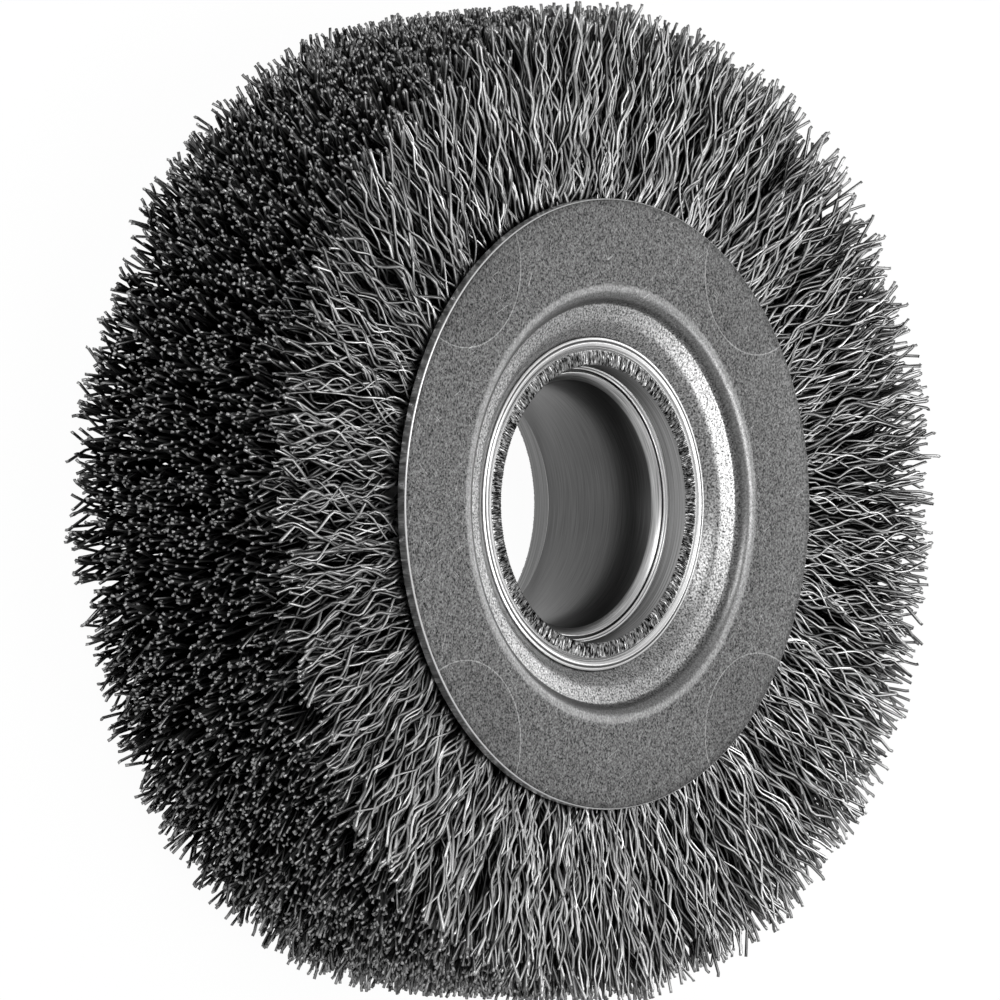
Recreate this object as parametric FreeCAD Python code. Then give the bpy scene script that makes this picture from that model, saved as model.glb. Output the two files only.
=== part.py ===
import FreeCAD, Part
import math
import os
import random

# Crimped wire wheel brush, lying on one face. Millimetres.
# The wheel's axis is Z and the origin is in the middle of the bore.
# The front half is built at z > 0, and the rear half is the same turned over.
# From the bore outwards, each radius is the one inside it and a width or a clearance.

# Wire fill
outside_diameter = 100.0
trim_width = 29.4
face_row_width = 5.0
middle_row_width = 6.4
row_gap = 0.16
root_depth = 3.6
face_tufts = 46
inner_tufts = 33
face_crimps = 4
inner_crimps = 1
crimp_height = 0.85
crimp_depth = 1.1
fullness_at_plate = 0.70
fullness_at_tip = 0.72
tuft_wander = 0.8
tip_raggedness = 0.8
wire_seed = 28

# Side plates, pressed from sheet
plate_thickness = 1.1
plate_inset = 1.4
rim_width = 9.95
shoulder_width = 0.8
shoulder_drop = 1.25
dish_width = 1.9
dish_drop = 0.42
countersink_margin = 1.5
countersink_angle = 35.0

# Arbor bush, pressed into the sleeve
bore_diameter = 25.4
bush_wall = 1.48
bush_recess = 2.85
bush_chamfer = 0.65

# Arbor sleeve, its ends swaged out over the plates
sleeve_wall = 1.75
swage_overhang = 1.15
swage_edge = 0.22

# Retaining ring that the wires are folded round
ring_height = 2.4
ring_width = 3.2

# Clearances
press_clearance = 0.02
seat_clearance = 0.05

AXIS = FreeCAD.Vector(0, 0, 1)
CENTRE = FreeCAD.Vector(0, 0, 0)

# Radii, from the bore outwards
bore_radius = bore_diameter / 2
bush_radius = bore_radius + bush_wall
sleeve_bore_radius = bush_radius + press_clearance
sleeve_radius = sleeve_bore_radius + sleeve_wall
swage_radius = sleeve_radius + swage_overhang
seat_radius = sleeve_radius + seat_clearance
ring_radius = seat_radius + ring_height
root_radius = ring_radius + root_depth
dish_radius = swage_radius + countersink_margin
crease_radius = dish_radius + dish_width
shoulder_radius = crease_radius + shoulder_width
plate_radius = shoulder_radius + rim_width
tip_radius = outside_diameter / 2

# Heights over the middle of the wheel
fill_half = trim_width / 2
plate_face = fill_half - plate_inset
crease_face = plate_face - shoulder_drop
dish_face = crease_face - dish_drop
countersink_tilt = math.radians(countersink_angle)


def countersink_height(radius):
    """Height of the front plate's countersink at a radius, on its outer face."""
    return dish_face - (dish_radius - radius) * math.tan(countersink_tilt)


def fill_height(radius):
    """Half the width of the wire fill at a radius: pinched by the plates' rims and fanned out to the tips."""
    pinched = plate_face - plate_thickness - seat_clearance
    fan = (fill_half - pinched) / (tip_radius - plate_radius)
    return pinched + (radius - plate_radius) * fan


def moved_line(a, b, distance):
    """The line a-b of the section moved sideways: a point on it and its direction."""
    length = math.hypot(b[0] - a[0], b[1] - a[1])
    along = ((b[0] - a[0]) / length, (b[1] - a[1]) / length)
    return (a[0] - along[1] * distance, a[1] + along[0] * distance), along


def crossing(first, second):
    """Where two lines of the section meet."""
    (p, u), (q, v) = first, second
    turn = u[0] * v[1] - u[1] * v[0]
    reach = ((q[0] - p[0]) * v[1] - (q[1] - p[1]) * v[0]) / turn
    return p[0] + u[0] * reach, p[1] + u[1] * reach


def turned(outline):
    """A solid of revolution about the wheel's axis, from the (radius, height) corners of its section."""
    corners = [FreeCAD.Vector(radius, 0, height) for radius, height in outline]
    solid = Part.Face(Part.makePolygon(corners + corners[:1])).revolve(CENTRE, AXIS, 360)
    if solid.Volume < 0:
        solid.reverse()
    return solid


def with_mirror(half):
    """A section's corners at z > 0, followed by the same corners at z < 0."""
    return half + [(radius, -height) for radius, height in half[::-1]]


def side_plate():
    """Front side plate: a flat rim, a sloped shoulder, a shallow dish and a countersunk hole, of one thickness."""
    outer = [
        (plate_radius, plate_face),
        (shoulder_radius, plate_face),
        (crease_radius, crease_face),
        (dish_radius, dish_face),
        (seat_radius, countersink_height(seat_radius)),
    ]
    lines = [moved_line(a, b, plate_thickness) for a, b in zip(outer, outer[1:])]
    rim = ((plate_radius, 0), (0, 1))
    hole = ((seat_radius, 0), (0, 1))
    lines = [rim] + lines + [hole]
    inner = [crossing(a, b) for a, b in zip(lines, lines[1:])]
    return turned(outer + inner[::-1])


def arbor_sleeve():
    """Tube through the wheel, both ends swaged out into the plates' countersinks."""
    swage_foot = countersink_height(swage_radius) + seat_clearance
    half = [
        (sleeve_radius, countersink_height(sleeve_radius) + seat_clearance),
        (swage_radius, swage_foot),
        (swage_radius, swage_foot + swage_edge),
        (sleeve_bore_radius, swage_foot + swage_edge),
    ]
    return turned(with_mirror(half))


def arbor_bush():
    """Plain bush with a chamfered bore, pressed into the middle of the sleeve."""
    face = countersink_height(swage_radius) + seat_clearance + swage_edge - bush_recess
    half = [
        (bush_radius, face),
        (bore_radius + bush_chamfer, face),
        (bore_radius, face - bush_chamfer),
    ]
    return turned(with_mirror(half))


def retaining_ring():
    """Hoop round the middle of the sleeve, which every wire is folded round."""
    return turned(with_mirror([(seat_radius, ring_width / 2), (ring_radius, ring_width / 2)]))


def tuft_outline(count, crimps, crimp, hollow, draw):
    """Corners of one tuft lying along X, seen along the wheel's axis: its right side, then its left side.

    It runs straight from the packed roots to the plate's edge and zigzags from there to a ragged tip. It wanders
    by less than the gap to the next tuft, so that two tufts never meet. The third value of a corner is how far
    the tuft's outer side lies below its row's there. Each second crimp from the one named by hollow is sunk.
    """
    base = root_radius * math.cos(math.pi / count)
    tip = tip_radius + draw.uniform(-tip_raggedness, tip_raggedness)
    slant = draw.uniform(-tip_raggedness, tip_raggedness) / 2
    wander = draw.uniform(-tuft_wander, tuft_wander)
    right = [(base, -base * math.tan(math.pi / count), 0)]
    left = [(base, base * math.tan(math.pi / count), 0)]
    for i in range(crimps + 1):
        way = i / crimps
        x = plate_radius + (tip - plate_radius) * way
        pitch = x * math.tan(math.pi / count)
        fullness = fullness_at_plate + (fullness_at_tip - fullness_at_plate) * way
        middle = crimp * (-1) ** i + wander * pitch * (1 - fullness)
        cut = slant if i == crimps else 0
        sunk = crimp_depth if i in range(hollow, crimps + 1, 2) else 0
        right.append((x - cut, middle - pitch * fullness, sunk))
        left.append((x + cut, middle + pitch * fullness, sunk))
    return right + left[::-1]


def rippled_side(corners):
    """A tuft's outer side: one flat face from crimp to crimp, and two at the slanted tip."""
    last = len(corners) // 2 - 2
    faces = []
    for k in range(last + 1):
        a, b, c, d = corners[k], corners[k + 1], corners[-2 - k], corners[-1 - k]
        parts = [[a, b, c], [a, c, d]] if k == last else [[a, b, c, d]]
        faces += [flat_face(part) for part in parts]
    return faces


def wire_row(low, high, inner_radius, count, crimps, crimp, rippled, seed):
    """A ring of tufts on one band of packed roots, whose flats stand round the piece inside it.

    low and high are the row's sides as shares of half the fill's width. Where the row's outer side is rippled,
    the crimps of neighbouring tufts rise and sink in turn.
    """
    draw = random.Random(seed)
    half_turn = math.pi / count
    throat = countersink_height(seat_radius) - plate_thickness / math.cos(countersink_tilt) - seat_clearance
    base = root_radius * math.cos(half_turn)
    root = [
        (inner_radius, -inner_radius * math.tan(half_turn), 0),
        (base, -base * math.tan(half_turn), 0),
        (base, base * math.tan(half_turn), 0),
        (inner_radius, inner_radius * math.tan(half_turn), 0),
    ]
    faces = []

    def height(x):
        if x >= base:
            return fill_height(x)
        return throat + (fill_height(base) - throat) * (x - seat_radius) / (base - seat_radius)

    for i in range(count):
        turn = FreeCAD.Rotation(AXIS, 360 * i / count)

        def under_side(outline):
            return [turn.multVec(FreeCAD.Vector(x, y, low * height(x) + row_gap / 2)) for x, y, _ in outline]

        def outer_side(outline):
            return [turn.multVec(FreeCAD.Vector(x, y, high * height(x) - row_gap / 2 - s)) for x, y, s in outline]

        hollow = 1 + i % 2 if rippled else crimps + 1
        tuft = tuft_outline(count, crimps, crimp, hollow, draw)
        for outline, open_side in ((tuft, len(tuft) - 1), (root, 1)):
            under = under_side(outline)
            over = outer_side(outline)
            faces.append(flat_face(under))
            faces += rippled_side(over) if outline is tuft else [flat_face(over)]
            for k in range(len(outline)):
                after = (k + 1) % len(outline)
                shared = outline is root and k in (0, 2)
                if k != open_side and not shared:
                    faces.append(flat_face([under[k], under[after], over[after], over[k]]))
    shell = Part.makeShell(faces)
    shell.sewShape()
    solid = Part.makeSolid(shell)
    if solid.Volume < 0:
        solid.reverse()
    return solid


def flat_face(corners):
    """A flat face from its corners."""
    return Part.Face(Part.makePolygon(corners + corners[:1]))


def turned_over(shape):
    """The same piece on the rear half of the wheel."""
    back = shape.copy()
    back.rotate(CENTRE, FreeCAD.Vector(1, 0, 0), 180)
    return back


def main():
    middle_share = middle_row_width / trim_width
    face_share = 1 - face_row_width / fill_half
    ring_seat = ring_radius + seat_clearance
    inner_row = (middle_share, face_share, seat_radius, inner_tufts, inner_crimps, -crimp_height, False)
    face_row = (face_share, 1, seat_radius, face_tufts, face_crimps, crimp_height, True)
    middle_row = (-middle_share, middle_share, ring_seat, inner_tufts, inner_crimps, crimp_height, False)
    pieces = {
        "front_plate": side_plate(),
        "rear_plate": turned_over(side_plate()),
        "arbor_sleeve": arbor_sleeve(),
        "arbor_bush": arbor_bush(),
        "retaining_ring": retaining_ring(),
        "front_face_wires": wire_row(*face_row, wire_seed),
        "front_inner_wires": wire_row(*inner_row, wire_seed + 1),
        "middle_wires": wire_row(*middle_row, wire_seed + 2),
        "rear_inner_wires": turned_over(wire_row(*inner_row, wire_seed + 3)),
        "rear_face_wires": turned_over(wire_row(*face_row, wire_seed + 4)),
    }
    os.makedirs("parts", exist_ok=True)
    for name, shape in pieces.items():
        shape.exportStep("parts/" + name + ".step")
        print(name, shape.ShapeType, round(shape.Volume, 1), "mm3", len(shape.Faces), "faces", shape.isValid())


main()
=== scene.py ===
"""Looks of the crimped wire wheel brush: every wire of its fill, its pressed plates and its swaged hub."""

import math
from typing import NamedTuple

import bpy
import numpy as np
from mathutils import Matrix, Vector


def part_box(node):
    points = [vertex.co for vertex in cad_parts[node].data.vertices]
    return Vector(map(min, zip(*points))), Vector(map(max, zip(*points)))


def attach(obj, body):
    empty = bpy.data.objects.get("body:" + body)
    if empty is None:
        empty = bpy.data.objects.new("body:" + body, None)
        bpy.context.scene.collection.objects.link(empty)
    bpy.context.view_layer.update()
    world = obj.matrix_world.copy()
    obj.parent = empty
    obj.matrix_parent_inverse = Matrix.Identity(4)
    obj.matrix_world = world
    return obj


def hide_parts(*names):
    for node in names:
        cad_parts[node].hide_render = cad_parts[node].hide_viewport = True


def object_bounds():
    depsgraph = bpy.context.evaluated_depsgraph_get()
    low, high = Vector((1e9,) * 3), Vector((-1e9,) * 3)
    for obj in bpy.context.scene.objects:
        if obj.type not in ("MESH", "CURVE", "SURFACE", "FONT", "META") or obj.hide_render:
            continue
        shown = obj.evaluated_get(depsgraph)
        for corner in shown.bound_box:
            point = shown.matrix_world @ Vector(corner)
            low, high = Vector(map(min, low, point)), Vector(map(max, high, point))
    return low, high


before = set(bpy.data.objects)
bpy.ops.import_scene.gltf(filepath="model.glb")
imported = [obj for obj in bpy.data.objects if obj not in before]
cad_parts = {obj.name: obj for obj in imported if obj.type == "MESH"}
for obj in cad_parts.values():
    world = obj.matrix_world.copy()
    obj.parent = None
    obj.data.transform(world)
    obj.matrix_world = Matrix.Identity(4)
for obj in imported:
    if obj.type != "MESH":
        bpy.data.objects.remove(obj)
cad_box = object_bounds()

# Lengths in this script are millimetres, apart from the stage's, and meshes are written in metres.
MM = 0.001

# Sizes read from the frame
rim_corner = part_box("front_plate")[1] / MM
PLATE_RADIUS = rim_corner.x
PLATE_FACE = rim_corner.z
sleeve_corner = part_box("arbor_sleeve")[1] / MM
SWAGE_RADIUS = sleeve_corner.x
SLEEVE_END = sleeve_corner.z
bush_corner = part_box("arbor_bush")[1] / MM
BUSH_RADIUS = bush_corner.x
BUSH_FACE = bush_corner.z
FILL_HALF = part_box("front_face_wires")[1].z / MM
FLOOR_HEIGHT = cad_box[0].z

# Mesh detail: the turn of each step round a bend is in degrees
WIRE_SIDES = 3
PLATE_SEGMENTS = 240
HUB_SEGMENTS = 200
BEND_STEP = 9
FINE_BEND_STEP = 30
FINE_BEND_RADIUS = 0.1

# Plate profile and marks
PLATE_THICKNESS = 1.1
SHOULDER_RADIUS = 21.3
CREASE_RADIUS = 20.5
CREASE_DROP = 1.25
DISH_RADIUS = 18.6
DISH_DROP = 1.67
COUNTERSINK_TILT = math.radians(35)
HOLE_RADIUS = 16.0
HOLE_DEPTH = 3.1
PRESS_MARK_RADIUS = 8.2
PRESS_MARK_X = 23.8
PRESS_MARK_Y = 22.45

# Hub
BUSH_WALL = 1.48
BORE_RADIUS = BUSH_RADIUS - BUSH_WALL
GROOVE_INSIDE = BORE_RADIUS + 0.89
GROOVE_OUTSIDE = BORE_RADIUS + 1.14
TEETH_INSIDE = SWAGE_RADIUS - 2.82
TEETH_OUTSIDE = SWAGE_RADIUS - 1.34
TEETH = 520

# Wire fill
TIP_RADIUS = 50.5
WIRE_RADIUS = 0.185
FACE_ROW_WIDTH = 5.0
MIDDLE_ROW_WIDTH = 6.4
SKIN_WIDTH = 1.3
SECOND_SKIN_WIDTH = 1.69
UNDER_PLATE = 30.2
IN_FILL = 42.0
PROUD = 0.35

# Crimps: ranges are shares of the usual length and height
CRIMP_LENGTH = 7.4
CRIMP_HEIGHT = 0.66
LENGTH_RANGE = (0.88, 1.14)
HEIGHT_RANGE = (0.75, 1.25)

# Bundles of wires
WIRES_PER_BUNDLE = 4
BUNDLE_PITCH = 2.3
BUNDLE_WIDTH = 1.5
BUNDLE_DEPTH = 1.1
BUNDLE_LEAN = 8
BUNDLE_REACH = 0.5
BAND_SLACK = 0.5

# Each wire's own lie in its bundle
WIRE_LEAN = 4
WIRE_TURN = 0.5
LEAN_PIVOT = 40
STRAY_SHARE = 0.03
STRAY_LEAN = 2.2
WIDEST_LEAN = math.radians(22)
DRIFT = 1.8
DRIFT_PIVOT = 0.6
TIP_SPREAD = 0.4
SHORTEST_TIP = -4.5
LONGEST_TIP = 0.9
TIP_LENGTH = 0.35
SIDE_GAP = 0.03
SIDE_BEND = 0.1


def fill_height(radius):
    """Half the width of the wire fill at a radius."""
    pinched = PLATE_FACE - PLATE_THICKNESS
    fan = (FILL_HALF - pinched) / (TIP_RADIUS - PLATE_RADIUS)
    return pinched + (radius - PLATE_RADIUS) * fan


def toward_tip(radius):
    """0 at the plate's edge and 1 at the tips."""
    return np.clip((radius - PLATE_RADIUS) / (TIP_RADIUS - PLATE_RADIUS), 0, 1)


# Mesh making

def make_piece(name, vertices, faces, smooth, material, painted_shade=None):
    """A piece that rides on the wheel.

    Vertices are in millimetres, faces are blocks of corner indices, and smooth has a yes or no for each block.
    """
    mesh = bpy.data.meshes.new(name)
    mesh.vertices.add(len(vertices))
    mesh.vertices.foreach_set("co", (np.asarray(vertices) * MM).astype(np.float32).ravel())
    sizes = np.concatenate([np.full(len(block), block.shape[1]) for block in faces])
    corners = np.concatenate([block.ravel() for block in faces])
    mesh.loops.add(len(corners))
    mesh.loops.foreach_set("vertex_index", corners.astype(np.int32))
    mesh.polygons.add(len(sizes))
    starts = np.concatenate([[0], np.cumsum(sizes)[:-1]])
    mesh.polygons.foreach_set("loop_start", starts.astype(np.int32))
    mesh.update(calc_edges=True)
    is_smooth = np.concatenate([np.full(len(block), answer) for block, answer in zip(faces, smooth)])
    mesh.polygons.foreach_set("use_smooth", is_smooth)
    # Painted light and shade for each vertex, where given
    if painted_shade is not None:
        attribute = mesh.attributes.new("painted_shade", "FLOAT", "POINT")
        attribute.data.foreach_set("value", np.asarray(painted_shade, np.float32))
    mesh.materials.append(material)
    mesh.update()
    piece = bpy.data.objects.new(name, mesh)
    bpy.context.scene.collection.objects.link(piece)
    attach(piece, "root")
    return piece


def unit(vectors):
    """The same directions with a length of 1."""
    return vectors / np.linalg.norm(vectors, axis=-1, keepdims=True)


def tubes(paths, roll, offset):
    """A wire along each path: vertices, side quads and end caps. Paths have the shape (wires, rings, 3)."""
    count, rings, _ = paths.shape
    along = unit(np.gradient(paths, axis=1))
    up = np.array([0.0, 0.0, 1.0])
    first = unit(up - along * (along @ up)[..., None])
    second = np.cross(along, first)
    angles = roll[:, None] + 2 * np.pi * np.arange(WIRE_SIDES) / WIRE_SIDES
    ring = (
        first[:, :, None, :] * np.cos(angles)[:, None, :, None]
        + second[:, :, None, :] * np.sin(angles)[:, None, :, None]
    )
    vertices = (paths[:, :, None, :] + ring * WIRE_RADIUS).reshape(-1, 3)
    wire = np.arange(count)[:, None, None] * rings * WIRE_SIDES
    step = np.arange(rings - 1)[None, :, None] * WIRE_SIDES
    side = np.arange(WIRE_SIDES)[None, None, :]
    after = (side + 1) % WIRE_SIDES
    base = wire + step + offset
    ahead = base + WIRE_SIDES
    quads = np.stack([base + side, base + after, ahead + after, ahead + side], -1).reshape(-1, 4)
    root = wire[:, 0] + offset
    tip = root + (rings - 1) * WIRE_SIDES
    ends = np.concatenate([tip + np.arange(WIRE_SIDES), root + np.arange(WIRE_SIDES)[::-1]])
    return vertices, quads, ends


# Wires

class WireGroup(NamedTuple):
    """Wires whose tips share a band of the tread.

    low and high are the band's sides as shares of half the fill's width. area is what each wire has of the
    tread, start is the radius where the wires begin, and rings is how many points each has. gathering is how
    far bundles draw together towards their tips, and ragged is how far they end short.
    """
    low: float
    high: float
    area: float
    start: float
    rings: int
    gathering: float
    ragged: float

    def wires(self):
        """How many wires the band holds."""
        return round(2 * np.pi * TIP_RADIUS * (self.high - self.low) * FILL_HALF / self.area)


def bundle_draw(rng, group):
    """Each bundle's place and what its wires share: rows of angle, share, lean, phase, roll and reach."""
    rows = max(1, round((group.high - group.low) * FILL_HALF / BUNDLE_PITCH))
    columns = max(1, group.wires() // WIRES_PER_BUNDLE) // rows
    count = rows * columns
    row = np.arange(count) % rows
    column = np.arange(count) // rows
    return np.stack([
        (column + rng.uniform(0, 1, count)) * 2 * np.pi / columns,
        group.low + (row + rng.uniform(0, 1, count)) * (group.high - group.low) / rows,
        np.radians(rng.normal(0, BUNDLE_LEAN, count)),
        rng.uniform(0, 2 * np.pi, count),
        rng.uniform(0, 2 * np.pi, count),
        BUNDLE_REACH - np.abs(rng.normal(0, group.ragged, count)),
    ])


def ring_radii(start, tip, rings, length, phase):
    """Radii of the points along each wire, closer together at its crimps' crests than on their slopes."""
    even = start + (tip - start) * np.linspace(0, 1, rings)
    radius = even + length / (8 * np.pi) * np.sin(2 * (2 * np.pi * even / length + phase))
    radius[:, :1] = start
    radius[:, -2:-1] = tip - TIP_LENGTH
    radius[:, -1:] = tip
    return radius


def wire_paths(rng, group, proud):
    """Centre lines of a group's wires.

    Wires lie in bundles that share their crimps' phase and lean, and draw together towards the tips. Ragged
    tips end short of the tip radius, and proud ones stand out of the fill's side. Values that a wire has once
    are columns.
    """
    count = group.wires()
    bundles = bundle_draw(rng, group)
    home = rng.permutation(np.arange(count) % bundles.shape[1])
    angle, share, lean, phase, roll, reach = bundles[:, home, None]
    spread = rng.normal(0, 1, (count, 2))
    lean = lean + np.radians(rng.normal(0, WIRE_LEAN, (count, 1)))
    phase = phase + rng.normal(0, WIRE_TURN, (count, 1))
    roll = roll + rng.normal(0, WIRE_TURN, (count, 1))
    length = CRIMP_LENGTH * rng.uniform(*LENGTH_RANGE, (count, 1))
    height = CRIMP_HEIGHT * rng.uniform(*HEIGHT_RANGE, (count, 1))
    tip = TIP_RADIUS + np.clip(reach + rng.normal(0, TIP_SPREAD, (count, 1)), SHORTEST_TIP, LONGEST_TIP)
    stray = rng.random((count, 1)) < STRAY_SHARE
    lean = np.clip(np.where(stray, lean * STRAY_LEAN, lean), -WIDEST_LEAN, WIDEST_LEAN)

    radius = ring_radii(group.start, tip, group.rings, length, phase)
    free = toward_tip(radius)
    gather = 1 - group.gathering * free ** 1.5
    wave = np.sin(2 * np.pi * radius / length + phase) * height
    across = (
        spread[:, :1] * BUNDLE_WIDTH * gather * radius / TIP_RADIUS
        + np.tan(lean) * (radius - LEAN_PIVOT)
        + wave * np.cos(roll)
    )
    angle = angle + across / radius

    flare = proud * free ** 2
    drift = rng.normal(0, DRIFT, (count, 1)) * (free - DRIFT_PIVOT) + flare
    share = share + (spread[:, 1:] * BUNDLE_DEPTH * gather + drift) / FILL_HALF
    slack = BAND_SLACK / FILL_HALF
    share = np.clip(share, group.low - slack, min(group.high + slack, 1))
    axial = share * fill_height(radius) + flare + wave * np.sin(roll)

    # Bend what would leave the fill's side back into it
    ceiling = fill_height(radius) + flare - WIRE_RADIUS - SIDE_GAP
    room = ceiling - np.abs(axial)
    axial = np.sign(axial) * (ceiling - np.hypot(room, SIDE_BEND))
    return np.stack([radius * np.cos(angle), radius * np.sin(angle), axial], -1)


def painted_wire_shade(rng, paths, points):
    """How bright each vertex is.

    Painted shade darkens the wires with depth in the fill and on their sides that face into it, and rises and
    falls along their crimps. Their tone differs from one wire to the next, and painted light runs down from
    their cut tips.
    """
    count = len(paths)
    radius = np.hypot(paths[..., 0], paths[..., 1])
    tip = radius[:, -1:]

    # Depth under the skin of the face, which takes full painted light, and under the tread for tips that end
    # short
    from_face = np.maximum(fill_height(radius) - np.abs(paths[..., 2]) - 0.35, 0)
    short = np.maximum(TIP_RADIUS - 0.5 - tip, 0)
    from_tip = np.maximum(tip - radius, 0) + np.minimum(short, from_face[:, -1:])

    # Painted light from the face reaches deeper near the tips, where the wires spread. Painted shade rises and
    # falls along the crimps and dims the face's painted light towards the tips
    painted_light_depth = 1.0 + 1.6 * toward_tip(radius) ** 3
    dip = np.sin(2 * np.pi * (radius / CRIMP_LENGTH + rng.random((count, 1))))
    painted_face_light = np.exp(-from_face / painted_light_depth) * (0.72 + 0.38 * dip) * (1 - 0.3 * np.exp(-from_tip / 3))

    # Painted light from the tread reaches down each wire by its own length, more on some of its sides than
    # others
    painted_light_length = rng.uniform(0.4, 1.5, (count, 1)) ** 2
    tip_fall = np.exp(-np.maximum(from_tip - TIP_LENGTH, 0) / painted_light_length)
    painted_tip_light = 0.9 * tip_fall[..., None] * rng.uniform(0.15, 1, (count, 1, WIRE_SIDES))

    # Painted shade on the sides that face into the fill, and a painted grey that darkens with depth in it.
    # Each wire's own tone differs at random
    outward = points.reshape(paths.shape[:2] + (WIRE_SIDES, 3)) - paths[:, :, None, :]
    facing = np.clip(outward[..., 2] * np.sign(paths[:, :, None, 2]) / WIRE_RADIUS, 0, 1)
    tone = rng.uniform(0.5, 1.1, (count, 1, 1))
    painted_depth_shade = 0.03 + 0.05 * np.exp(-from_face / 2.5)
    painted_light = np.maximum(painted_tip_light, painted_face_light[..., None] * (0.12 + 0.88 * facing))
    return (tone * (painted_depth_shade[..., None] + painted_light)).ravel()


def wire_piece(name, groups, seed, material, front):
    """One row of wires as a piece that replaces the frame's node of the same row."""
    rng = np.random.default_rng(seed)
    vertices, quads, ends, painted_shades = [], [], [], []
    offset = 0
    for group in groups:
        proud = PROUD if front and group.high == 1 else 0
        paths = wire_paths(rng, group, proud)
        if not front:
            paths = turned_over(paths)
        points, sides, caps = tubes(paths, rng.uniform(0, 2 * np.pi, len(paths)), offset)
        vertices.append(points)
        quads.append(sides)
        ends.append(caps)
        painted_shades.append(painted_wire_shade(rng, paths, points))
        offset += len(points)
    faces = [np.concatenate(quads), np.concatenate(ends)]
    piece = make_piece(name, np.concatenate(vertices), faces, [True, False], material, np.concatenate(painted_shades))
    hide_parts(name.replace("_bristles", "_wires"))


def wire_fill(material):
    """All the rows of wires. Those of the two outer skins are seen from the plate's edge to their tips."""
    middle = MIDDLE_ROW_WIDTH / 2 / FILL_HALF
    face = 1 - FACE_ROW_WIDTH / FILL_HALF
    skin = 1 - SKIN_WIDTH / FILL_HALF
    under_skin = 1 - (SKIN_WIDTH + SECOND_SKIN_WIDTH) / FILL_HALF
    face_groups = [
        WireGroup(skin, 1, area=0.45, start=UNDER_PLATE, rings=19, gathering=0.3, ragged=2.0),
        WireGroup(under_skin, skin, area=0.66, start=UNDER_PLATE + 0.2, rings=13, gathering=0.25, ragged=1.4),
        WireGroup(face, under_skin, area=0.75, start=IN_FILL, rings=7, gathering=0.2, ragged=0.9),
    ]
    inner_groups = [WireGroup(middle, face, area=0.52, start=IN_FILL, rings=7, gathering=0.25, ragged=0.8)]
    middle_groups = [
        WireGroup(-middle, middle, area=0.8, start=IN_FILL, rings=7, gathering=0.25, ragged=0.8),
        WireGroup(-middle, middle, area=1.5, start=UNDER_PLATE, rings=7, gathering=0.25, ragged=0.8),
    ]
    rows = [
        ("front_face_bristles", face_groups),
        ("front_inner_bristles", inner_groups),
        ("middle_bristles", middle_groups),
        ("rear_inner_bristles", inner_groups),
        ("rear_face_bristles", face_groups),
    ]
    for seed, (name, groups) in enumerate(rows, 11):
        wire_piece(name, groups, seed, material, not name.startswith("rear"))


# Turned pieces

def rounded(corners):
    """A smooth outline through (radius, height, corner radius) corners."""
    outline = [corners[0][:2]]
    for before, corner, after in zip(corners, corners[1:], corners[2:]):
        here = Vector(corner[:2])
        wanted = corner[2]
        if wanted == 0:
            outline.append(tuple(here))
            continue
        back = Vector(before[:2]) - here
        ahead = Vector(after[:2]) - here
        half = back.angle(ahead) / 2
        reach = min(wanted / math.tan(half), back.length * 0.48, ahead.length * 0.48)
        bend = reach * math.tan(half)
        middle = here + (back.normalized() + ahead.normalized()).normalized() * (bend / math.sin(half))
        first = here + back.normalized() * reach - middle
        last = here + ahead.normalized() * reach - middle
        step = BEND_STEP if wanted > FINE_BEND_RADIUS else FINE_BEND_STEP
        steps = max(2, round(math.degrees(first.angle(last)) / step))
        total = first.angle_signed(last)
        for i in range(steps + 1):
            spot = middle + Matrix.Rotation(-total * i / steps, 2) @ first
            outline.append(tuple(spot))
    outline.append(corners[-1][:2])
    return outline


def lathe(outline, segments):
    """Vertices and quads of an outline turned about the wheel's axis; the outline runs round the section."""
    outline = np.array(outline)
    angles = 2 * np.pi * np.arange(segments) / segments
    count = len(outline)
    radius = outline[:, 0][None, :]
    vertices = np.stack([
        radius * np.cos(angles)[:, None],
        radius * np.sin(angles)[:, None],
        np.repeat(outline[:, 1][None, :], segments, 0),
    ], -1).reshape(-1, 3)
    here = np.arange(segments)[:, None] * count
    beside = ((np.arange(segments) + 1) % segments)[:, None] * count
    corner = np.arange(count)[None, :]
    after = (corner + 1) % count
    quads = np.stack([here + corner, here + after, beside + after, beside + corner], -1).reshape(-1, 4)
    return vertices, quads


def turned_over(vertices):
    """The same vertices on the rear half of the wheel."""
    return vertices * np.array([1, -1, -1])


def with_mirror(half):
    """The corners of a section's front half, followed by the same corners at the rear."""
    return half + [(radius, -height, bend) for radius, height, bend in half[::-1]]


def plate_outline():
    """Section of the front side plate: the visible side from the hole to the rim, then the underside back."""
    dish_face = PLATE_FACE - DISH_DROP
    outline = [
        (HOLE_RADIUS, dish_face - (DISH_RADIUS - HOLE_RADIUS) * math.tan(COUNTERSINK_TILT), 0),
        (DISH_RADIUS, dish_face, 2.2),
        (CREASE_RADIUS, PLATE_FACE - CREASE_DROP, 0.25),
        (SHOULDER_RADIUS, PLATE_FACE, 1.5),
        (PLATE_RADIUS, PLATE_FACE, 0.22),
        (PLATE_RADIUS, PLATE_FACE - PLATE_THICKNESS, 0.12),
        (SHOULDER_RADIUS + 0.4, PLATE_FACE - PLATE_THICKNESS, 0.5),
        (CREASE_RADIUS + 0.5, PLATE_FACE - CREASE_DROP - PLATE_THICKNESS, 0.5),
        (DISH_RADIUS + 0.3, dish_face - PLATE_THICKNESS, 0.5),
        (HOLE_RADIUS, dish_face - HOLE_DEPTH, 0),
    ]
    return rounded(outline)


def make_plates(material):
    """Both side plates, the rear one the same as the front one turned over."""
    for name, front in (("front_plate_sheet", True), ("rear_plate_sheet", False)):
        vertices, quads = lathe(plate_outline(), PLATE_SEGMENTS)
        if not front:
            vertices = turned_over(vertices)
        piece = make_piece(name, vertices, [quads], [True], material)
        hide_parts(name.replace("_sheet", ""))


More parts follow.
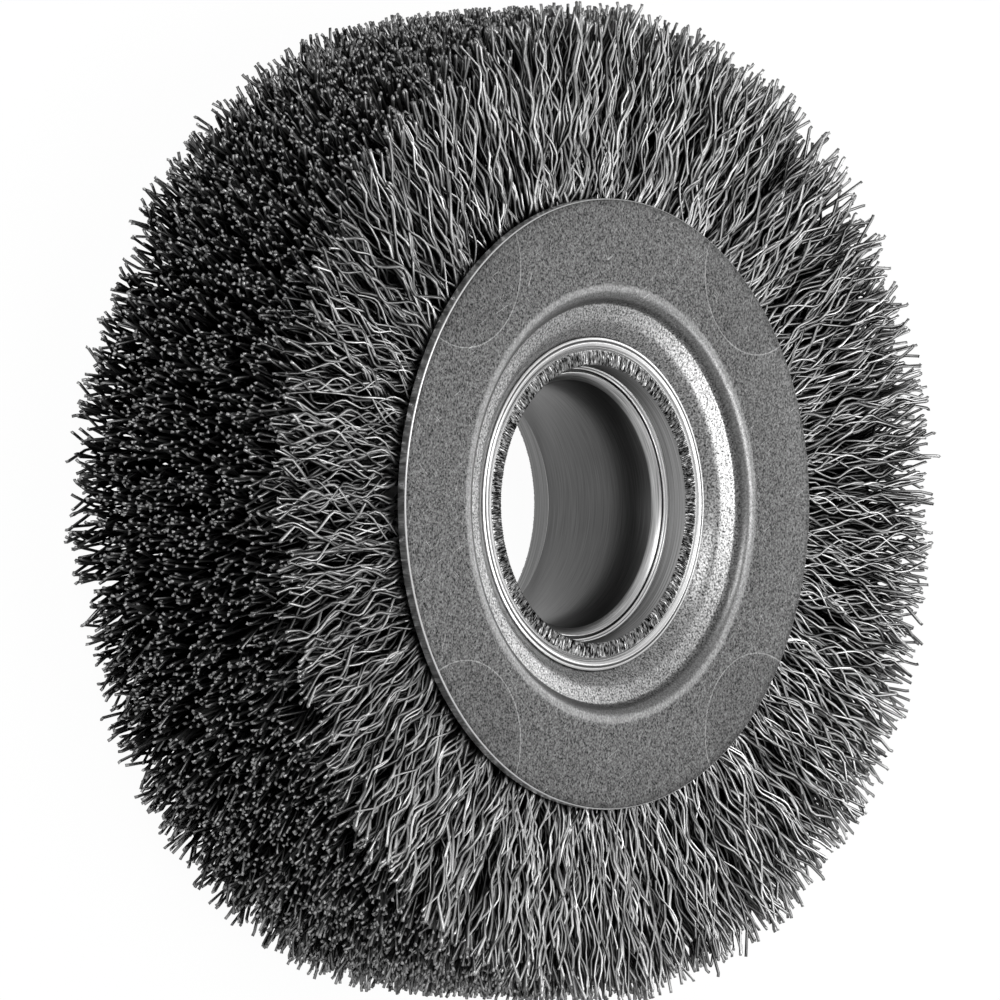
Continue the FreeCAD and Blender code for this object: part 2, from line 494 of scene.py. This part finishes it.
def swaged_half():
    """Front half of the sleeve's section: mouth, step under the torn ring, rolled lip and tube.

    Each corner is its inset from the swaged edge, its drop from the sleeve's end and its corner radius.
    """
    from_edge = [
        (2.9, 0.32, 0.05),
        (2.65, 0.17, 0.05),
        (1.32, 0.15, 0.04),
        (1.25, 0.42, 0.06),
        (1.02, 0.42, 0.06),
        (0.9, 0.15, 0.1),
        (0.55, 0.02, 0.14),
        (0.38, 0.2, 0.04),
        (0.24, 0.08, 0.06),
        (0.03, 0.12, 0.05),
        (0.0, 0.24, 0.03),
        (1.15, 1.0, 0),
    ]
    return [(SWAGE_RADIUS - inset, SLEEVE_END - drop, bend) for inset, drop, bend in from_edge]


def torn_ring(rng):
    """The ring of small torn ridges round the sleeve's mouth, each one a crest and a valley."""
    columns = 2 * TEETH
    foot = SLEEVE_END - 0.35
    crest = [
        (TEETH_INSIDE, SLEEVE_END - 0.16),
        (TEETH_INSIDE + 0.14, SLEEVE_END - 0.02),
        (TEETH_INSIDE + 0.7, SLEEVE_END + 0.02),
        (TEETH_OUTSIDE - 0.16, SLEEVE_END - 0.03),
        (TEETH_OUTSIDE, SLEEVE_END - 0.14),
    ]
    outline = [(TEETH_INSIDE, foot)] + crest + [(TEETH_OUTSIDE, foot)]
    vertices, quads = lathe(outline, columns)
    grid = vertices.reshape(columns, len(outline), 3)
    valley = np.arange(columns) % 2 == 0
    drop = np.where(valley, rng.uniform(0.07, 0.2, columns), rng.uniform(0, 0.06, columns))
    ripple = rng.uniform(-0.03, 0.03, (columns, len(crest)))
    grid[:, 1:-1, 2] -= drop[:, None] + ripple
    return grid.reshape(-1, 3), quads


def make_sleeve(material):
    """The swaged tube with a ring of torn ridges at each end."""
    rng = np.random.default_rng(5)
    tube, tube_quads = lathe(rounded(with_mirror(swaged_half())), HUB_SEGMENTS)
    vertices, quads = [tube], [tube_quads]
    for front in (True, False):
        ring, ring_quads = torn_ring(rng)
        offset = sum(len(block) for block in vertices)
        vertices.append(ring if front else turned_over(ring))
        quads.append(ring_quads + offset)
    piece = make_piece("arbor_sleeve_swaged", np.concatenate(vertices), quads, [True, False, False], material)
    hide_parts("arbor_sleeve")


def make_bush(material):
    """Bush with a chamfered bore, a fine groove in each face and a burr pressed up against the sleeve.

    Each corner is its distance from the bore, its rise over the bush's face and its corner radius.
    """
    from_bore = [
        (0.0, -0.85, 0.1),
        (0.78, -0.05, 0.05),
        (0.88, -0.05, 0.02),
        (0.9, -0.5, 0.02),
        (1.14, -0.5, 0.02),
        (1.18, -0.1, 0.02),
        (BUSH_WALL - 0.14, -0.05, 0.3),
        (BUSH_WALL - 0.02, 0.4, 0),
    ]
    half = [(BORE_RADIUS + outset, BUSH_FACE + rise, bend) for outset, rise, bend in from_bore]
    vertices, quads = lathe(rounded(with_mirror(half)), HUB_SEGMENTS)
    piece = make_piece("arbor_bush_turned", vertices, [quads], [True], material)
    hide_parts("arbor_bush")


# Material making

def new_material(name):
    """A metal without colour yet: the material, its node tree and its shader."""
    material = bpy.data.materials.new(name)
    material.use_nodes = True
    nodes = material.node_tree.nodes
    nodes.clear()
    output = nodes.new("ShaderNodeOutputMaterial")
    shader = nodes.new("ShaderNodeBsdfPrincipled")
    shader.inputs["Metallic"].default_value = 1
    material.node_tree.links.new(shader.outputs["BSDF"], output.inputs["Surface"])
    return material, material.node_tree, shader


def compute(tree, operation, *values):
    """The result of a math node on numbers and on other nodes' results."""
    node = tree.nodes.new("ShaderNodeMath")
    node.operation = operation
    for socket, value in zip(node.inputs, values):
        if isinstance(value, bpy.types.NodeSocket):
            tree.links.new(value, socket)
        else:
            socket.default_value = value
    return node.outputs[0]


def rises(tree, value, low, high):
    """0 where a value is under low, 1 where it is over high, and smooth between."""
    node = tree.nodes.new("ShaderNodeMapRange")
    node.interpolation_type = "SMOOTHSTEP"
    node.inputs["From Min"].default_value = low
    node.inputs["From Max"].default_value = high
    tree.links.new(value, node.inputs["Value"])
    return node.outputs["Result"]


def between(tree, value, low, high, soft):
    """1 where a value is between low and high, and 0 outside them."""
    over_low = rises(tree, value, low - soft, low)
    over_high = rises(tree, value, high, high + soft)
    return compute(tree, "SUBTRACT", over_low, over_high)


def mixed(tree, share, first, second):
    """The first tone where the share is 0 and the second where it is 1."""
    difference = compute(tree, "SUBTRACT", second, first)
    return compute(tree, "MULTIPLY_ADD", difference, share, first)


def part_place(tree):
    """Place on the part in millimetres: as a vector, its x, y and height, and its radius."""
    source = tree.nodes.new("ShaderNodeTexCoord")
    scaled = tree.nodes.new("ShaderNodeVectorMath")
    scaled.operation = "SCALE"
    scaled.inputs["Scale"].default_value = 1 / MM
    tree.links.new(source.outputs["Object"], scaled.inputs[0])
    split = tree.nodes.new("ShaderNodeSeparateXYZ")
    tree.links.new(scaled.outputs[0], split.inputs[0])
    x, y, z = split.outputs
    squares = compute(tree, "MULTIPLY_ADD", x, x, compute(tree, "MULTIPLY", y, y))
    return scaled.outputs[0], x, y, compute(tree, "ABSOLUTE", z), compute(tree, "SQRT", squares)


def round_place(tree):
    """Place along the radius, round the axis and along it, for marks that run round it; and the radius."""
    _, x, y, height, radius = part_place(tree)
    joined = tree.nodes.new("ShaderNodeCombineXYZ")
    tree.links.new(radius, joined.inputs[0])
    tree.links.new(compute(tree, "ARCTAN2", y, x), joined.inputs[1])
    tree.links.new(height, joined.inputs[2])
    return joined.outputs[0], radius


def grain(tree, place, cell, turn=0.0):
    """Noise about 0.5, whose cells have the given size along each direction."""
    mapping = tree.nodes.new("ShaderNodeMapping")
    mapping.vector_type = "TEXTURE"
    mapping.inputs["Rotation"].default_value[2] = turn
    mapping.inputs["Scale"].default_value = cell
    tree.links.new(place, mapping.inputs["Vector"])
    noise = tree.nodes.new("ShaderNodeTexNoise")
    noise.inputs["Scale"].default_value = 1
    noise.inputs["Detail"].default_value = 2
    tree.links.new(mapping.outputs[0], noise.inputs["Vector"])
    return noise.outputs["Fac"]


# Materials

def wire_steel():
    """Bright drawn wire, with painted shade where it lies deep in the fill and painted light at its tips."""
    material, tree, shader = new_material("drawn_wire")
    painted_shade = tree.nodes.new("ShaderNodeAttribute")
    painted_shade.attribute_name = "painted_shade"
    # The vertices' painted light and shade scale the wire's colour
    tone = compute(tree, "MULTIPLY", painted_shade.outputs["Fac"], 0.55)
    tree.links.new(tone, shader.inputs["Base Color"])
    shader.inputs["Roughness"].default_value = 0.38
    shader.inputs["Specular Tint"].default_value = (0.1, 0.1, 0.1, 1)
    return material


def plate_steel():
    """Dark satin sheet: fine grain, press marks and light scratches, with painted highlights in the dish, on
    the shoulder and at the rim, and painted shade inside the rim.
    """
    material, tree, shader = new_material("plate_steel")
    place, x, y, height, radius = part_place(tree)
    tone = compute(tree, "MULTIPLY_ADD", grain(tree, place, (0.2, 0.2, 0.2)), 0.26, -0.075)
    # Painted highlight: the dish inside the crease is 3.2 times lighter
    outside_dish = rises(tree, radius, CREASE_RADIUS - 0.1, CREASE_RADIUS + 0.4)
    tone = mixed(tree, outside_dish, compute(tree, "MULTIPLY", tone, 3.2), tone)

    # Painted highlight in a band round the shoulder's bend
    shoulder = between(tree, radius, SHOULDER_RADIUS - 0.2, SHOULDER_RADIUS + 0.9, 0.45)
    tone = compute(tree, "MULTIPLY_ADD", shoulder, 0.07, tone)

    mark_x = compute(tree, "SUBTRACT", compute(tree, "ABSOLUTE", x), PRESS_MARK_X)
    mark_y = compute(tree, "SUBTRACT", compute(tree, "ABSOLUTE", y), PRESS_MARK_Y)
    squares = compute(tree, "MULTIPLY_ADD", mark_x, mark_x, compute(tree, "MULTIPLY", mark_y, mark_y))
    from_mark = compute(tree, "SUBTRACT", compute(tree, "SQRT", squares), PRESS_MARK_RADIUS)
    tone = mixed(tree, rises(tree, from_mark, -0.3, 0.0), compute(tree, "MULTIPLY", tone, 0.88), tone)
    tone = compute(tree, "MULTIPLY_ADD", between(tree, from_mark, -0.03, 0.03, 0.06), 0.07, tone)

    for turn, cell in ((0.5, (0.1, 3.5, 0.5)), (1.2, (0.09, 5.0, 0.5)), (-0.7, (0.08, 2.5, 0.5))):
        scratch = rises(tree, grain(tree, place, cell, turn), 0.71, 0.76)
        tone = compute(tree, "MULTIPLY_ADD", scratch, 0.12, tone)

    # Painted shade in a band just inside the rim
    rim_shade = rises(tree, radius, PLATE_RADIUS - 1.0, PLATE_RADIUS - 0.2)
    tone = mixed(tree, rim_shade, tone, compute(tree, "MULTIPLY", tone, 0.65))
    # The rim's sheared side: real striations, lightened as painted light, with a painted highlight along its
    # top edge
    sheared = compute(tree, "MULTIPLY", grain(tree, place, (0.16, 0.16, 1.2)), 1.2)
    edge = rises(tree, radius, PLATE_RADIUS - 0.16, PLATE_RADIUS - 0.08)
    on_face = rises(tree, height, PLATE_FACE - 0.22, PLATE_FACE - 0.14)
    tone = mixed(tree, edge, tone, mixed(tree, on_face, sheared, 0.6))
    tree.links.new(tone, shader.inputs["Base Color"])
    shader.inputs["Roughness"].default_value = 0.35
    return material


def sleeve_steel():
    """Turned steel with a polished rolled lip, bright torn ridges and painted shade in the grooves beside the
    lip.
    """
    material, tree, shader = new_material("sleeve_steel")
    place, radius = round_place(tree)
    turned = grain(tree, place, (0.1, 1.5, 0.1))
    wall = compute(tree, "MULTIPLY", turned, 0.5)
    torn = compute(tree, "MULTIPLY_ADD", grain(tree, place, (0.5, 0.008, 0.5)), 1.5, -0.6)
    lip = compute(tree, "MULTIPLY", turned, 0.9)
    tone = mixed(tree, rises(tree, radius, TEETH_INSIDE - 0.04, TEETH_INSIDE), wall, torn)
    tone = mixed(tree, rises(tree, radius, TEETH_OUTSIDE, TEETH_OUTSIDE + 0.04), tone, lip)
    # Painted shade in the grooves beside the lip
    for inset in (1.14, 0.38):
        middle = SWAGE_RADIUS - inset
        groove_shade = between(tree, radius, middle - 0.06, middle + 0.06, 0.05)
        tone = mixed(tree, groove_shade, tone, compute(tree, "MULTIPLY", tone, 0.15))
    tree.links.new(tone, shader.inputs["Base Color"])
    shader.inputs["Roughness"].default_value = 0.3
    return material


def bush_steel():
    """Turned steel with fine turning marks, painted shade in the bore and in a fine groove, a light chamfer
    and a bright face.
    """
    material, tree, shader = new_material("bush_steel")
    place, radius = round_place(tree)
    turned = grain(tree, place, (0.12, 0.4, 0.12))
    # Painted shade darkens the bore, over its turning marks
    bore = compute(tree, "MULTIPLY_ADD", turned, 0.1, 0.05)
    chamfer = compute(tree, "MULTIPLY", turned, 0.7)
    tone = mixed(tree, rises(tree, radius, BORE_RADIUS + 0.03, BORE_RADIUS + 0.08), bore, chamfer)
    tone = mixed(tree, rises(tree, radius, GROOVE_OUTSIDE - 0.02, GROOVE_OUTSIDE + 0.02), tone, turned)
    # Painted shade in the groove
    groove = between(tree, radius, GROOVE_INSIDE, GROOVE_OUTSIDE, 0.02)
    tone = mixed(tree, groove, tone, 0.03)
    tree.links.new(tone, shader.inputs["Base Color"])
    shader.inputs["Roughness"].default_value = 0.32
    return material


def ring_steel():
    """Plain steel, for the ring that nothing shows."""
    material, _, shader = new_material("ring_steel")
    shader.inputs["Base Color"].default_value = (0.2, 0.2, 0.2, 1)
    shader.inputs["Roughness"].default_value = 0.35
    return material


def seen_directly(tree):
    """1 for rays from the camera, in reflections and through glass, so that these see white."""
    path = tree.nodes.new("ShaderNodeLightPath")
    seen = compute(tree, "MAXIMUM", path.outputs["Is Camera Ray"], path.outputs["Is Glossy Ray"])
    return compute(tree, "MAXIMUM", seen, path.outputs["Is Transmission Ray"])


def floor_white():
    """White to the eye and in reflections, keeping a faint shadow; pale grey to other light."""
    material = bpy.data.materials.new("white_floor")
    material.use_nodes = True
    tree = material.node_tree
    nodes, links = tree.nodes, tree.links
    nodes.clear()
    output = nodes.new("ShaderNodeOutputMaterial")
    plain = nodes.new("ShaderNodeBsdfDiffuse")
    plain.inputs["Color"].default_value = (0.6, 0.6, 0.6, 1)
    white = nodes.new("ShaderNodeEmission")
    shaded = nodes.new("ShaderNodeBsdfDiffuse")
    shaded.inputs["Color"].default_value = (1, 1, 1, 1)
    bright = nodes.new("ShaderNodeMixShader")
    bright.inputs["Fac"].default_value = 0.03
    links.new(white.outputs[0], bright.inputs[1])
    links.new(shaded.outputs[0], bright.inputs[2])
    both = nodes.new("ShaderNodeMixShader")
    links.new(seen_directly(tree), both.inputs["Fac"])
    links.new(plain.outputs[0], both.inputs[1])
    links.new(bright.outputs[0], both.inputs[2])
    links.new(both.outputs[0], output.inputs["Surface"])
    return material


# Stage, with its sizes and distances in metres
FLOOR_HALF = 4.0
LAMP_DISTANCE = 1.2
CAMERA_DISTANCE = 0.7124
AMBIENT = 0.35

# The camera looks down on the lying wheel, rolled so that the face is to the right. Its lens is millimetres.
PICTURE_SIZE = 1000
CENTRE_PIXEL = (518, 504)
SENSOR_WIDTH = 36
LENS = 247.75
VIEW_TILT = math.radians(47.8)
toward_camera = Vector((0, -math.sin(VIEW_TILT), math.cos(VIEW_TILT)))
picture_right = Vector((0, math.cos(VIEW_TILT), math.sin(VIEW_TILT)))
picture_up = Vector((-1, 0, 0))


def make_floor():
    """A flat white floor under the wheel."""
    sides = (-FLOOR_HALF, FLOOR_HALF)
    corners = [(x, y, FLOOR_HEIGHT) for x in sides for y in sides]
    mesh = bpy.data.meshes.new("floor")
    mesh.from_pydata(corners, [], [(0, 2, 3, 1)])
    mesh.materials.append(floor_white())
    floor = bpy.data.objects.new("floor", mesh)
    bpy.context.scene.collection.objects.link(floor)


def make_world():
    """A studio that is white to the eye and gives a soft light from all round."""
    world = bpy.data.worlds.new("studio")
    bpy.context.scene.world = world
    world.use_nodes = True
    tree = world.node_tree
    tree.nodes.clear()
    output = tree.nodes.new("ShaderNodeOutputWorld")
    background = tree.nodes.new("ShaderNodeBackground")
    background.inputs["Color"].default_value = (1, 1, 1, 1)
    tree.links.new(mixed(tree, seen_directly(tree), AMBIENT, 1.0), background.inputs["Strength"])
    tree.links.new(background.outputs[0], output.inputs["Surface"])


def make_camera():
    """The photo's camera."""
    data = bpy.data.cameras.new("camera")
    data.lens = LENS
    data.sensor_width = SENSOR_WIDTH
    data.shift_x = (PICTURE_SIZE / 2 - CENTRE_PIXEL[0]) / PICTURE_SIZE
    data.shift_y = (CENTRE_PIXEL[1] - PICTURE_SIZE / 2) / PICTURE_SIZE
    data.clip_start = 0.01
    camera = bpy.data.objects.new("camera", data)
    bpy.context.scene.collection.objects.link(camera)
    axes = Matrix((picture_right, picture_up, toward_camera)).transposed()
    camera.matrix_world = Matrix.Translation(toward_camera * CAMERA_DISTANCE) @ axes.to_4x4()
    bpy.context.scene.camera = camera


def make_lamp(name, direction, size, power):
    """A square soft lamp that faces the wheel."""
    data = bpy.data.lights.new(name, "AREA")
    data.shape = "SQUARE"
    data.size = size
    data.energy = power
    lamp = bpy.data.objects.new(name, data)
    bpy.context.scene.collection.objects.link(lamp)
    lamp.location = direction.normalized() * LAMP_DISTANCE
    lamp.rotation_mode = "QUATERNION"
    lamp.rotation_quaternion = direction.to_track_quat("Z", "Y")


def make_lights():
    """A large lamp over the wheel, one near the camera and a low one beyond the wheel's face."""
    make_lamp("key_lamp", Vector((0.12, 0.36, 0.93)), 0.6, 8.5)
    make_lamp("camera_side_lamp", toward_camera + picture_up * 0.5 + picture_right * 0.4, 0.5, 5)
    make_lamp("low_side_lamp", Vector((-0.1, 0.88, 0.47)), 0.5, 3.2)


wire_fill(wire_steel())
make_plates(plate_steel())
make_sleeve(sleeve_steel())
make_bush(bush_steel())
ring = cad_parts["retaining_ring"]
ring.data.materials.clear()
ring.data.materials.append(ring_steel())
make_floor()
make_world()
make_camera()
make_lights()
bpy.context.scene.view_settings.view_transform = "Standard"
